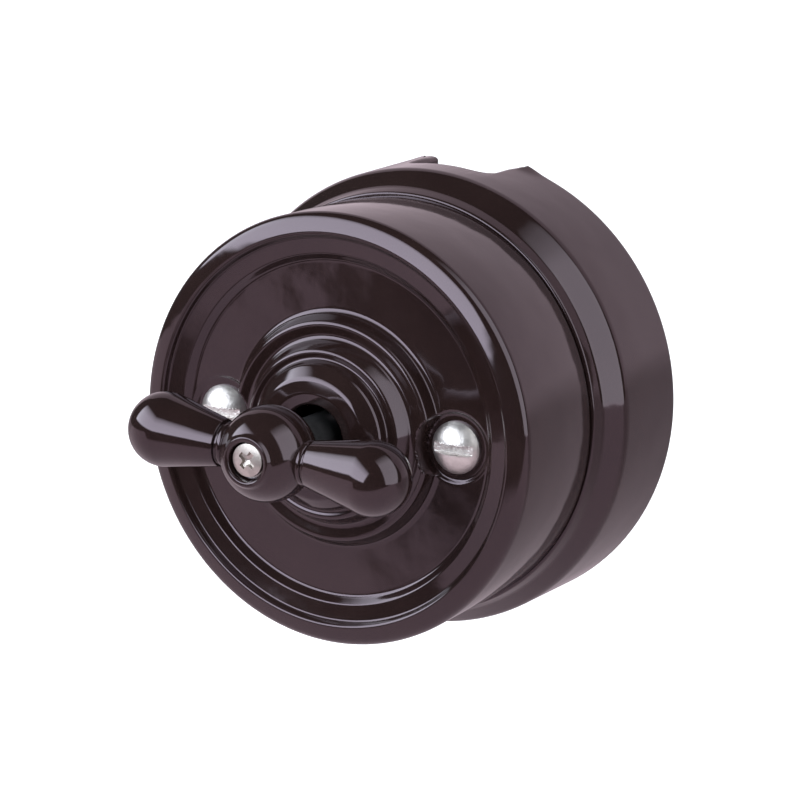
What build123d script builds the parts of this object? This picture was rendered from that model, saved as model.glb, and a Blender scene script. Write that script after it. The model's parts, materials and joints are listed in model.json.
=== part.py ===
from build123d import *
from math import asin, atan2, cos, hypot, radians, sin
import os

# Surface-mounted rotary light switch in glazed ceramic, millimetres.
# The wall is the plane Y = 0, the front faces -Y and +Z is up.
# Every depth below is a distance from the wall towards the front, along -Y.

# Fits and clearances that several pieces share
running_fit = 0.05
drive_fit = 0.05
screw_clearance = 0.05
hole_clearance = 0.4
seat_clearance = 0.1
cut_lift = 0.1
screw_point = 0.6

# Cover: widths are measured inwards from its largest radius
cover_r = 34.0
cover_height = 22.9
cover_gap = 0.2
cover_draft = 0.6
cover_wall = 4.0
cover_rear_round = 0.4
rim_width = 3.3
rim_slope = 1.0
rim_round = 1.7
rim_inner_round = 0.6
rim_step = 0.6
ledge_outer_round = 0.5
ledge_width = 2.6
ledge_drop = 1.1
ledge_slope = 0.5
ledge_inner_round = 0.6
ledge_step = 1.1
face_round = 0.9
face_drop = 2.7
face_thickness = 3.8
wall_inner_round = 2.5
rabbet_round = 0.2
post_r = 4.6
post_length = 4.8
post_root = 0.5

# Stepped boss in the middle of the cover: widths are measured outwards from the stem
stem_gap = 1.7
stem_hole_round = 1.0
dome_rim = 3.1
dome_round = 1.6
dome_height = 8.3
dome_dip = 0.6
dome_flank = 3.5
dome_foot_round = 0.5
ring_rim = 1.3
ring_round = 0.7
ring_height = 5.1
ring_dip = 0.4
ring_flank = 1.5
ring_foot_round = 1.0
bead_rim = 2.5
bead_round = 0.8
bead_height = 2.6
bead_dip = 0.5
bead_flank = 1.2
bead_foot_round = 1.1
boss_inner_round = 1.0
boss_root_round = 2.0

# Base: widths are measured outwards from the cover's back edge
base_depth = 22.4
lip_overhang = 0.4
lip_round = 0.45
lip_height = 3.3
shoulder_spread = 0.55
shoulder_round = 3.0
shoulder_height = 1.8
flange_width = 2.45
flange_round = 2.2
base_back_round = 0.7
base_floor = 4.0
cavity_step = 0.6
tongue_wall = 2.0
tongue_height = 1.9

# Cable arch through the top of the base
arch_half_width = 7.25
arch_height = 10.3
arch_corner = 2.5
arch_round = 1.0
arch_reach = 2.2

# Wall screw holes in the floor of the base
wall_hole_r = 2.25
wall_hole_margin = 0.9
wall_head_r = 4.3
wall_head_depth = 1.2

# Cover screws
cover_screw_r = 1.9
cover_screw_reach = 1.9
cover_head_r = 4.1
cover_head_edge = 0.9
cover_head_crown = 1.6
cover_slot = 1.1
cover_slot_depth = 1.3
head_recess_r = 5.0
head_recess_depth = 0.5
head_recess_margin = 0.7
head_recess_round = 0.3

# Knob
stem_show = 6.0
hub_r = 7.35
hub_front = 6.65
hub_back = 6.1
hub_round = 0.4
hub_lip = 0.85
hub_lip_round = 0.3
rest_turn = 3.4
neck_r = 3.2
collar_r = 3.5
collar_sink = 0.15
collar_half = 0.7
wing_neck = 0.5
wing_neck_round = 0.15
wing_start_r = 3.6
wing_start_round = 0.2
wing_r = 5.7
wing_length = 16.6
knob_recess_depth = 2.0
knob_recess_gap = 0.55
socket_wall = 1.4

# Knob screw and its spring washer
knob_screw_r = 1.2
knob_screw_length = 8.5
knob_head_r = 2.45
knob_head_edge = 0.56
knob_head_crown = 0.69
cross_width = 0.65
cross_length = 2.9
cross_depth = 0.8
washer_thickness = 0.4
washer_gap = 0.6
washer_margin = 0.1

# Spindle
spindle_r = 3.5
drive_side = 4.6
drive_corner = 0.4
drive_length = 7.0
drive_gap = 0.2
cam_side = 5.0
cam_corner = 0.5
cam_overrun = 0.3
pivot_r = 1.8
pivot_chamfer = 0.3
clip_groove_depth = 0.8

# Switch mechanism, a moulded block hung behind the strap
block_lift = 2.0
block_floor = 2.0
block_wall = 3.5
block_round = 0.8
plate_thickness = 1.7
bearing_wall = 1.9
bearing_collar_height = 1.6
pivot_boss_wall = 1.6
pivot_boss_height = 1.2
pivot_bore_depth = 2.4
pivot_end_gap = 0.5
drum_r = 10.2
drum_clearance = 1.0
drum_end_gap = 0.4
notch_r = 1.7
notch_depth = 0.6
notch_length = 3.4
rotor_thickness = 0.8
rotor_ring_r = 6.4
rotor_margin = 0.2
block_screw_offset = 1.8
block_screw_z = 4.0
block_screw_r = 1.0
block_screw_head_r = 1.7
block_screw_head = 1.2
block_screw_length = 11.0
block_screw_end_gap = 0.5

# Detent
detent_angle = 90
ball_r = 1.5
ball_clearance = 0.1
spring_r = 1.15
spring_wire_r = 0.2
spring_length = 2.4
spring_clearance = 0.05
spring_turns = 4

# Contacts and terminals
terminal_angles = {"common": 270, "load_1": 45, "load_2": 135}
contact_tip_r = {"common": 5.0, "load_1": 8.2, "load_2": 8.2}
leaf_thickness = 0.5
leaf_width = 4.0
leaf_bend_gap = 0.3
leaf_rise = 1.9
leaf_end = 1.2
rivet_r = 1.0
rivet_height = 0.65
rivet_gap = 0.15
terminal_width = 5.4
terminal_gap = 0.3
terminal_radial = 3.8
terminal_head_room = 3.4
pocket_clearance = 0.2
wire_hole_r = 1.45
wire_hole_height = 2.2
terminal_screw_r = 1.25
terminal_screw_bite = 0.6
terminal_head_r = 1.9
terminal_head = 1.4
terminal_slot = 0.6

# Mounting strap and what holds it
strap_sink = 2.4
strap_clearance = 0.5
strap_thickness = 1.5
strap_half_width = 7.0
strap_corner = 1.5
strap_collar_r = 2.75
strap_collar_height = 2.4
strap_end = 2.7
strap_screw_r = 1.25
strap_screw_length = 5.4
strap_head_r = 2.5
strap_head = 1.8
strap_slot = 0.8
pad_margin = 3.0
pad_half_width = 6.0
insert_r = 2.0
insert_length = 6.0
insert_fit = 0.02

# Spindle clip and thrust washer
thrust_thickness = 0.4
thrust_margin = 0.2
clip_thickness = 0.6
clip_width = 1.3
clip_bite = 0.3
clip_gap = 0.1

# Radii that follow from the sizes above
cover_rear_r = cover_r - cover_draft
cover_inner_r = cover_r - cover_wall
rim_inner_r = cover_r - rim_width
ledge_outer_r = rim_inner_r - rim_step
ledge_inner_r = ledge_outer_r - ledge_width
face_r = ledge_inner_r - ledge_step
cover_screw_x = face_r - head_recess_margin - head_recess_r
stem_hole_r = spindle_r + stem_gap
dome_r = stem_hole_r + dome_rim
dome_foot_r = dome_r + dome_flank
ring_r = dome_foot_r + ring_rim
ring_foot_r = ring_r + ring_flank
bead_r = ring_foot_r + bead_rim
bead_foot_r = bead_r + bead_flank
lip_r = cover_rear_r + lip_overhang
shoulder_r = lip_r + shoulder_spread
base_r = shoulder_r + flange_width
base_cavity_r = cover_inner_r - cavity_step
tongue_r = base_cavity_r + tongue_wall
rabbet_r = tongue_r + cover_gap
arch_start_z = base_cavity_r - arch_reach
wall_hole_offset = arch_start_z - wall_hole_margin - wall_head_r
strap_r = base_cavity_r - strap_clearance
strap_screw_x = strap_r - strap_end
pad_x = strap_screw_x - pad_margin
bearing_collar_r = spindle_r + bearing_wall
clip_groove_r = spindle_r - clip_groove_depth
drum_cavity_r = drum_r + drum_clearance
leaf_bend_r = drum_cavity_r - leaf_bend_gap
terminal_inner_r = drum_cavity_r + terminal_gap
terminal_middle_r = terminal_inner_r + terminal_radial / 2
pocket_outer_r = terminal_inner_r + terminal_radial + pocket_clearance
block_r = pocket_outer_r + block_wall
block_screw_x = drum_cavity_r + block_screw_offset
ball_middle_r = drum_r + ball_clearance + ball_r
spring_seat = ((ball_r + spring_wire_r + spring_clearance) ** 2 - spring_r**2) ** 0.5
spring_start = ball_middle_r + spring_seat
bore_end_r = spring_start + spring_length
knob_recess_r = knob_head_r + knob_recess_gap
hub_lip_r = knob_recess_r + hub_lip
hub_lip_rise = (hub_r**2 - hub_lip_r**2) ** 0.5
hub_back_r = (hub_r**2 - hub_back**2) ** 0.5
collar_x = hub_r - collar_sink
wing_start_x = collar_x + collar_half + wing_neck
wing_tip_x = hub_r + wing_length

# Depths that follow from the sizes above
shoulder_depth = base_depth - lip_height
flange_depth = shoulder_depth - shoulder_height
cover_back = base_depth + cover_gap
cover_depth = base_depth + cover_height
rabbet_depth = base_depth + tongue_height + cover_gap
ledge_depth = cover_depth - ledge_drop
face_depth = cover_depth - face_drop
inner_face = face_depth - face_thickness
recess_floor = face_depth - head_recess_depth
knob_depth = face_depth + dome_height + stem_show + hub_back
knob_recess_floor = knob_depth + hub_front - knob_recess_depth
socket_end = knob_recess_floor - socket_wall
drive_end = socket_end - drive_gap
drive_start = drive_end - drive_length
strap_back = base_depth - strap_sink
strap_front = strap_back + strap_thickness
cover_screw_length = recess_floor - strap_back + cover_screw_reach
block_back = base_floor + block_lift
block_depth = strap_back - plate_thickness
block_floor_depth = block_back + block_floor
collar_front = strap_back + bearing_collar_height
clip_back = collar_front + thrust_thickness + clip_gap
groove_back = clip_back - screw_clearance
groove_front = clip_back + clip_thickness + screw_clearance
leaf_top = block_floor_depth + leaf_thickness
rivet_base = leaf_top + leaf_rise
rotor_back = rivet_base + rivet_height + rivet_gap
drum_back = rotor_back + rotor_thickness
drum_front = block_depth - drum_end_gap
cam_start = drum_front + seat_clearance
cam_end = rotor_back - cam_overrun
pivot_bore_front = block_floor_depth + pivot_boss_height
pivot_end = pivot_bore_front - pivot_bore_depth + pivot_end_gap
notch_middle = drum_front - notch_length / 2
wire_depth = leaf_top + wire_hole_height
screw_seat = block_depth - terminal_head_room
terminal_screw_end = wire_depth + wire_hole_r * terminal_screw_bite

# Local x is the radius and local y is the depth
profile = Plane(origin=(0, 0, 0), x_dir=(1, 0, 0), z_dir=(0, 0, -1))

os.makedirs("parts", exist_ok=True)


def facing(depth):
    """The plane parallel to the wall at a depth, local y up."""
    return Plane.XZ.offset(depth)


def radial(angle):
    """The plane through the axis at an angle, local x the radius, local y the depth."""
    turn = radians(angle)
    return Plane(origin=(0, 0, 0), x_dir=(cos(turn), 0, sin(turn)), z_dir=(sin(turn), 0, -cos(turn)))


def across(angle, distance):
    """The plane square to a radius, looking outwards along it, local x along the wall."""
    turn = radians(angle)
    origin = (distance * cos(turn), 0, distance * sin(turn))
    return Plane(origin=origin, x_dir=(-sin(turn), 0, cos(turn)), z_dir=(cos(turn), 0, sin(turn)))


def save(builder, name, turn=0):
    """Label a finished piece, turned about the spindle by an angle, and write its file."""
    piece = Rotation(0, turn, 0) * builder.part
    piece.label = name
    export_step(piece, f"parts/{name}.step")


def save_group(pieces, name):
    """Label several like pieces as one node and write its file."""
    group = Compound(label=name, children=pieces)
    export_step(group, f"parts/{name}.step")


def copies(piece, places):
    """The same piece at several places beside the axis."""
    return [Location((x, 0, z)) * piece for x, z in places]


def beside_screw(point):
    """How far a point is from the axis of the nearer cover screw."""
    return hypot(abs(point.X) - cover_screw_x, point.Z)


def crown_radius(half_width, height):
    """The radius of an arc that rises by a height over a half width."""
    return (half_width**2 + height**2) / (2 * height)


def on_circle(angle, distance):
    """A point of a facing plane at an angle and a distance from the axis."""
    return (distance * cos(radians(angle)), distance * sin(radians(angle)))


# Arch space: what the cable arch takes from the base, rounded off where it leaves the flange
arch_lead = 2 * arch_round
with BuildPart() as arch_space:
    with BuildSketch(facing(-arch_lead)):
        Circle(base_r + arch_round)
        Circle(base_r, mode=Mode.SUBTRACT)
        with Locations((0, base_r)):
            Rectangle(4 * arch_half_width, base_r, mode=Mode.INTERSECT)
    extrude(amount=arch_lead + flange_depth)
    with BuildSketch(Plane.XY.offset(arch_start_z)):
        with BuildLine():
            FilletPolyline(
                (-arch_half_width, arch_lead),
                (-arch_half_width, -arch_height),
                (arch_half_width, -arch_height),
                (arch_half_width, arch_lead),
                radius=arch_corner,
            )
            Line((arch_half_width, arch_lead), (-arch_half_width, arch_lead))
        make_face()
    extrude(amount=base_r - arch_start_z)
    arch_mouth = [
        edge
        for edge in arch_space.edges()
        if abs(edge.center().X) <= arch_half_width
        and abs(hypot(edge.center().X, edge.center().Z) - base_r) < cut_lift
        and edge.center().Y > cut_lift - flange_depth
    ]
    fillet(arch_mouth, arch_round)

# Base: a turned ceramic foot with a floor, two pads for the strap and an arch for the cable
with BuildPart() as base:
    with BuildSketch(profile):
        with BuildLine():
            FilletPolyline(
                (0, 0),
                (base_r, 0),
                (base_r, flange_depth),
                (shoulder_r, shoulder_depth),
                (lip_r, base_depth),
                (tongue_r, base_depth),
                radius=[base_back_round, flange_round, shoulder_round, lip_round],
            )
            Polyline(
                (tongue_r, base_depth),
                (tongue_r, base_depth + tongue_height),
                (base_cavity_r, base_depth + tongue_height),
                (base_cavity_r, base_floor),
                (0, base_floor),
                (0, 0),
            )
        make_face()
    revolve(axis=Axis.Y)
    with BuildSketch(facing(base_floor)):
        Circle(base_cavity_r + tongue_wall / 2)
        Rectangle(2 * pad_x, 4 * base_r, mode=Mode.SUBTRACT)
        Rectangle(4 * base_r, 2 * pad_half_width, mode=Mode.INTERSECT)
    extrude(amount=strap_back - base_floor)
    with BuildSketch(facing(0)):
        with Locations((0, wall_hole_offset), (0, -wall_hole_offset)):
            Circle(wall_hole_r)
    extrude(amount=base_floor, mode=Mode.SUBTRACT)
    with BuildSketch(facing(base_floor)):
        with Locations((0, wall_hole_offset), (0, -wall_hole_offset)):
            Circle(wall_head_r)
    extrude(amount=-wall_head_depth, mode=Mode.SUBTRACT)
    with BuildSketch(facing(strap_back)):
        with Locations((-strap_screw_x, 0), (strap_screw_x, 0)):
            Circle(insert_r)
    extrude(amount=-insert_length, mode=Mode.SUBTRACT)
    add(arch_space.part, mode=Mode.SUBTRACT)
save(base, "base")

# Cover: a turned ceramic shell with a stepped rim, a flat face and a stepped boss
with BuildPart() as cover:
    with BuildSketch(profile):
        with BuildLine():
            FilletPolyline(
                (rabbet_r, cover_back),
                (cover_rear_r, cover_back),
                (cover_r, cover_depth - rim_slope),
                (rim_inner_r, cover_depth),
                (ledge_outer_r, ledge_depth),
                (ledge_inner_r, ledge_depth - ledge_slope),
                (face_r, face_depth),
                (bead_foot_r, face_depth),
                (bead_r, face_depth + bead_height),
                (ring_foot_r, face_depth + bead_height - bead_dip),
                (ring_r, face_depth + ring_height),
                (dome_foot_r, face_depth + ring_height - ring_dip),
                (dome_r, face_depth + dome_height),
                (stem_hole_r, face_depth + dome_height - dome_dip),
                (stem_hole_r, face_depth + bead_height),
                radius=[
                    cover_rear_round,
                    rim_round,
                    rim_inner_round,
                    ledge_outer_round,
                    ledge_inner_round,
                    face_round,
                    bead_foot_round,
                    bead_round,
                    ring_foot_round,
                    ring_round,
                    dome_foot_round,
                    dome_round,
                    stem_hole_round,
                ],
            )
            FilletPolyline(
                (stem_hole_r, face_depth + bead_height),
                (dome_r, face_depth + bead_height),
                (ring_r, inner_face),
                (cover_inner_r, inner_face),
                (cover_inner_r, rabbet_depth),
                (rabbet_r, rabbet_depth),
                (rabbet_r, cover_back),
                radius=[boss_inner_round, boss_root_round, wall_inner_round, rabbet_round, rabbet_round],
            )
        make_face()
    revolve(axis=Axis.Y)
    with BuildSketch(facing(inner_face + post_root)):
        with Locations((-cover_screw_x, 0), (cover_screw_x, 0)):
            Circle(post_r)
    extrude(amount=-post_length - post_root)
    with BuildSketch(facing(recess_floor)):
        with Locations((-cover_screw_x, 0), (cover_screw_x, 0)):
            Circle(head_recess_r)
    extrude(amount=dome_height, mode=Mode.SUBTRACT)
    recess_edges = [
        edge
        for edge in cover.edges()
        if -edge.center().Y > recess_floor + cut_lift
        and all(abs(beside_screw(edge @ t) - head_recess_r) < cut_lift for t in (0, 0.5, 1))
    ]
    fillet(recess_edges, head_recess_round)
    with BuildSketch(facing(recess_floor)):
        with Locations((-cover_screw_x, 0), (cover_screw_x, 0)):
            Circle(cover_screw_r + hole_clearance)
    extrude(amount=-face_thickness - post_length, mode=Mode.SUBTRACT)
save(cover, "cover")

# Knob: a ceramic ball hub with two club-shaped wings
wing_end_x = wing_tip_x - wing_r
wing_reach = hypot(wing_end_x - wing_start_x, wing_start_r)
wing_lean = asin(wing_r / wing_reach) - atan2(wing_start_r, wing_end_x - wing_start_x)
wing_cone_x = wing_end_x - wing_r * sin(wing_lean)
wing_cone_r = wing_r * cos(wing_lean)
knob_axis = Axis((0, -knob_depth, 0), (1, 0, 0))
wing_plane = Plane(origin=(0, -knob_depth, 0), x_dir=(1, 0, 0), z_dir=(0, 0, 1))
with BuildPart() as knob:
    with BuildSketch(profile):
        with BuildLine():
            Polyline(
                (0, knob_depth + hub_front),
                (hub_lip_r, knob_depth + hub_front),
                (hub_lip_r, knob_depth + hub_lip_rise),
            )
            ThreePointArc(
                (hub_lip_r, knob_depth + hub_lip_rise),
                (hub_r, knob_depth),
                (hub_back_r, knob_depth - hub_back),
            )
            Polyline((hub_back_r, knob_depth - hub_back), (0, knob_depth - hub_back))
            Line((0, knob_depth - hub_back), (0, knob_depth + hub_front))
        hub_face = make_face()
        fillet(hub_face.vertices().sort_by_distance((hub_back_r, knob_depth - hub_back))[0], hub_round)
    revolve(axis=Axis.Y)
    with BuildSketch(wing_plane):
        with BuildLine():
            Polyline((0, 0), (0, neck_r), (collar_x - collar_half, neck_r))
            ThreePointArc(
                (collar_x - collar_half, neck_r),
                (collar_x, collar_r),
                (collar_x + collar_half, neck_r),
            )
            FilletPolyline(
                (collar_x + collar_half, neck_r),
                (wing_start_x, neck_r),
                (wing_start_x, wing_start_r),
                (wing_cone_x, wing_cone_r),
                radius=[wing_neck_round, wing_start_round],
            )
            ThreePointArc(
                (wing_cone_x, wing_cone_r),
                (wing_end_x + wing_r * cos(radians(45)), wing_r * sin(radians(45))),
                (wing_tip_x, 0),
            )
            Line((wing_tip_x, 0), (0, 0))
        make_face()
        mirror(about=Plane.YZ)
    revolve(axis=knob_axis)
    with BuildSketch(facing(knob_depth + hub_front)):
        Circle(knob_recess_r)
    extrude(amount=-knob_recess_depth, mode=Mode.SUBTRACT)
    fillet(knob.faces().sort_by(Axis.Y)[0].edges(), hub_lip_round)
    with BuildSketch(facing(knob_recess_floor)):
        Circle(knob_screw_r + hole_clearance)
    extrude(amount=-socket_wall, mode=Mode.SUBTRACT)
    with BuildSketch(facing(socket_end)):
        Rectangle(drive_side + 2 * drive_fit, drive_side + 2 * drive_fit)
    extrude(amount=-2 * hub_r, mode=Mode.SUBTRACT)
    with BuildSketch(facing(drive_start + seat_clearance)):
        Circle(spindle_r + drive_fit)
    extrude(amount=-2 * hub_r, mode=Mode.SUBTRACT)
save(knob, "knob", rest_turn)

# Knob washer: a split spring washer under the screw head
with BuildPart() as knob_washer:
    with BuildSketch(facing(knob_recess_floor)):
        Circle(knob_head_r - washer_margin)
        Circle(knob_screw_r + 2 * screw_clearance, mode=Mode.SUBTRACT)
        with Locations((0, knob_head_r / 2)):
            Rectangle(washer_gap, knob_head_r, mode=Mode.SUBTRACT)
    extrude(amount=washer_thickness)
save(knob_washer, "knob_washer", rest_turn)

# Knob screw: a pan head with a cross recess
knob_head_back = knob_recess_floor + washer_thickness
knob_head_top = knob_head_back + knob_head_edge + knob_head_crown
with BuildPart() as knob_screw:
    with BuildSketch(profile):
        with BuildLine():
            Polyline(
                (0, knob_head_back - knob_screw_length),
                (knob_screw_r - screw_point, knob_head_back - knob_screw_length),
                (knob_screw_r, knob_head_back - knob_screw_length + screw_point),
                (knob_screw_r, knob_head_back),
                (knob_head_r, knob_head_back),
                (knob_head_r, knob_head_back + knob_head_edge),
            )
            RadiusArc(
                (knob_head_r, knob_head_back + knob_head_edge),
                (0, knob_head_top),
                -crown_radius(knob_head_r, knob_head_crown),
            )
            Line((0, knob_head_top), (0, knob_head_back - knob_screw_length))
        make_face()
    revolve(axis=Axis.Y)
    with BuildSketch(facing(knob_head_top + cut_lift)):
        Rectangle(cross_length, cross_width)
        Rectangle(cross_width, cross_length)
    extrude(amount=-cross_depth - cut_lift, mode=Mode.SUBTRACT)
save(knob_screw, "knob_screw", rest_turn)

# Cover screws: round heads with one slot
cover_head_back = recess_floor
cover_head_top = cover_head_back + cover_head_edge + cover_head_crown
with BuildPart() as cover_screw:
    with BuildSketch(profile):
        with BuildLine():
            Polyline(
                (0, cover_head_back - cover_screw_length),
                (cover_screw_r - screw_point, cover_head_back - cover_screw_length),
                (cover_screw_r, cover_head_back - cover_screw_length + screw_point),
                (cover_screw_r, cover_head_back),
                (cover_head_r, cover_head_back),
                (cover_head_r, cover_head_back + cover_head_edge),
            )
            RadiusArc(
                (cover_head_r, cover_head_back + cover_head_edge),
                (0, cover_head_top),
                -crown_radius(cover_head_r, cover_head_crown),
            )
            Line((0, cover_head_top), (0, cover_head_back - cover_screw_length))
        make_face()
    revolve(axis=Axis.Y)
    with BuildSketch(facing(cover_head_top + cut_lift)):
        Rectangle(3 * cover_head_r, cover_slot)
    extrude(amount=-cover_slot_depth - cut_lift, mode=Mode.SUBTRACT)
save_group(copies(cover_screw.part, [(-cover_screw_x, 0), (cover_screw_x, 0)]), "cover_screws")

# Spindle: a round stem with a square end for the knob, a square for the drum and a pivot
with BuildPart() as spindle:
    with BuildSketch(facing(cam_end)):
        Circle(pivot_r)
    extrude(amount=pivot_end - cam_end)
    chamfer(spindle.faces().sort_by(Axis.Y)[-1].edges(), pivot_chamfer)
    with BuildSketch(facing(cam_end)):
        RectangleRounded(cam_side, cam_side, cam_corner)
    extrude(amount=cam_start - cam_end)
    with BuildSketch(facing(cam_start)):
        Circle(spindle_r)
    extrude(amount=drive_start - cam_start)
    with BuildSketch(facing(drive_start)):
        RectangleRounded(drive_side, drive_side, drive_corner)
    extrude(amount=drive_length)
    with BuildSketch(facing(groove_back)):
        Circle(bearing_collar_r)
        Circle(clip_groove_r, mode=Mode.SUBTRACT)
    extrude(amount=groove_front - groove_back, mode=Mode.SUBTRACT)
    with BuildSketch(facing(drive_end)):
        Circle(knob_screw_r + screw_clearance)
    extrude(amount=-knob_screw_length, mode=Mode.SUBTRACT)
save(spindle, "spindle", rest_turn)

# Thrust washer: lies on the bearing collar behind the clip
with BuildPart() as thrust_washer:
    with BuildSketch(facing(collar_front)):
        Circle(bearing_collar_r - thrust_margin)
        Circle(spindle_r + 2 * running_fit, mode=Mode.SUBTRACT)
    extrude(amount=thrust_thickness)
save(thrust_washer, "thrust_washer")

# Spindle clip: an open spring clip in the groove of the spindle
clip_r = spindle_r + clip_width
with BuildPart() as spindle_clip:
    with BuildSketch(facing(clip_back)):
        Circle(clip_r)
        Circle(spindle_r - clip_bite, mode=Mode.SUBTRACT)
        for turn in (90, 210, 330):
            with Locations(on_circle(turn, (spindle_r + clip_groove_r) / 2)):
                Circle((spindle_r - clip_groove_r) / 2)
        with Locations((0, -clip_r)):
            Rectangle(2 * clip_groove_r, 2 * clip_r - spindle_r, mode=Mode.SUBTRACT)
    extrude(amount=clip_thickness)
save(spindle_clip, "spindle_clip", rest_turn)

# Block: the moulded body of the switch, with the drum's well and three terminal pockets
pocket_width = terminal_width + 2 * pocket_clearance
with BuildPart() as switch_block:
    with BuildSketch(facing(block_back)):
        Circle(block_r)
    extrude(amount=block_depth - block_back)
    fillet(switch_block.edges().group_by(Axis.Y)[-1], block_round)
    with BuildSketch(facing(block_floor_depth)):
        Circle(drum_cavity_r)
        for angle in terminal_angles.values():
            with Locations(Location(on_circle(angle, pocket_outer_r / 2) + (0,), (0, 0, angle))):
                Rectangle(pocket_outer_r, pocket_width)
    extrude(amount=block_depth - block_floor_depth, mode=Mode.SUBTRACT)
    with BuildSketch(facing(block_back)):
        with Locations((-cover_screw_x, 0), (cover_screw_x, 0)):
            Circle(cover_screw_r + hole_clearance)
    extrude(amount=block_depth - block_back, mode=Mode.SUBTRACT)
    with BuildSketch(facing(block_floor_depth)):
        Circle(pivot_r + pivot_boss_wall)
    extrude(amount=pivot_boss_height)
    with BuildSketch(facing(pivot_bore_front)):
        Circle(pivot_r + running_fit)
    extrude(amount=-pivot_bore_depth, mode=Mode.SUBTRACT)
    for angle in terminal_angles.values():
        with BuildSketch(across(angle, terminal_middle_r)):
            with Locations((0, wire_depth)):
                Circle(wire_hole_r + hole_clearance)
        extrude(amount=block_r, mode=Mode.SUBTRACT)
    with BuildSketch(across(detent_angle, drum_r)):
        with Locations((0, notch_middle)):
            Circle(ball_r + running_fit)
    extrude(amount=bore_end_r - drum_r, mode=Mode.SUBTRACT)
    with BuildSketch(facing(block_depth)):
        for side in (-block_screw_x, block_screw_x):
            with Locations((side, block_screw_z), (side, -block_screw_z)):
                Circle(block_screw_r + screw_clearance)
    extrude(amount=strap_front - block_depth - block_screw_length - block_screw_end_gap, mode=Mode.SUBTRACT)
save(switch_block, "switch_block")

# Bearing plate: closes the block and carries the spindle in its collar
with BuildPart() as bearing_plate:
    with BuildSketch(facing(block_depth)):
        Circle(block_r)
        with Locations((-cover_screw_x, 0), (cover_screw_x, 0)):
            Circle(cover_screw_r + hole_clearance, mode=Mode.SUBTRACT)
        for angle in terminal_angles.values():
            with Locations(on_circle(angle, terminal_middle_r)):
                Circle(terminal_head_r, mode=Mode.SUBTRACT)
        for side in (-block_screw_x, block_screw_x):
            with Locations((side, block_screw_z), (side, -block_screw_z)):
                Circle(block_screw_r + seat_clearance, mode=Mode.SUBTRACT)
    extrude(amount=plate_thickness)
    with BuildSketch(facing(strap_back)):
        Circle(bearing_collar_r)
    extrude(amount=bearing_collar_height)
    with BuildSketch(facing(block_depth)):
        Circle(spindle_r + running_fit)
    extrude(amount=plate_thickness + bearing_collar_height, mode=Mode.SUBTRACT)
save(bearing_plate, "bearing_plate")

# Cam drum: four notches for the ball and a square hole for the spindle
with BuildPart() as cam_drum:
    with BuildSketch(facing(drum_back)):
        Circle(drum_r)
        Rectangle(cam_side + 2 * drive_fit, cam_side + 2 * drive_fit, mode=Mode.SUBTRACT)
    extrude(amount=drum_front - drum_back)
    with BuildSketch(facing(drum_front)):
        with PolarLocations(drum_r + notch_r - notch_depth, 4):
            Circle(notch_r)
    extrude(amount=-notch_length, mode=Mode.SUBTRACT)
save(cam_drum, "cam_drum", rest_turn)

# Rotor contact: a brass disc with a full ring and a half circle of contact track
with BuildPart() as rotor_contact:
    with BuildSketch(facing(rotor_back)):
        Circle(drum_r - rotor_margin)
        with Locations((0, drum_r)):
            Rectangle(2 * drum_r, 2 * drum_r, mode=Mode.SUBTRACT)
        Circle(rotor_ring_r)
        Rectangle(cam_side + 2 * drive_fit, cam_side + 2 * drive_fit, mode=Mode.SUBTRACT)
    extrude(amount=rotor_thickness)
save(rotor_contact, "rotor_contact", rest_turn)

# Detent: a steel ball pushed at the drum by a coil spring in the block
with BuildPart() as detent_ball:
    with Locations(across(detent_angle, ball_middle_r) * Location((0, notch_middle, 0))):
        Sphere(ball_r)
save(detent_ball, "detent_ball")

spring_pitch = (spring_length - spring_wire_r - spring_clearance) / spring_turns
spring_end = across(detent_angle, spring_start)
with BuildPart() as detent_spring:
    with BuildLine():
        coil = Helix(
            spring_pitch,
            spring_pitch * spring_turns,
            spring_r,
            center=spring_end.from_local_coords((0, notch_middle, 0)),
            direction=spring_end.z_dir,
        )
    with BuildSketch(Plane(origin=coil @ 0, z_dir=coil % 0)):
        Circle(spring_wire_r)
    sweep(path=coil, is_frenet=True)
save(detent_spring, "detent_spring")

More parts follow.
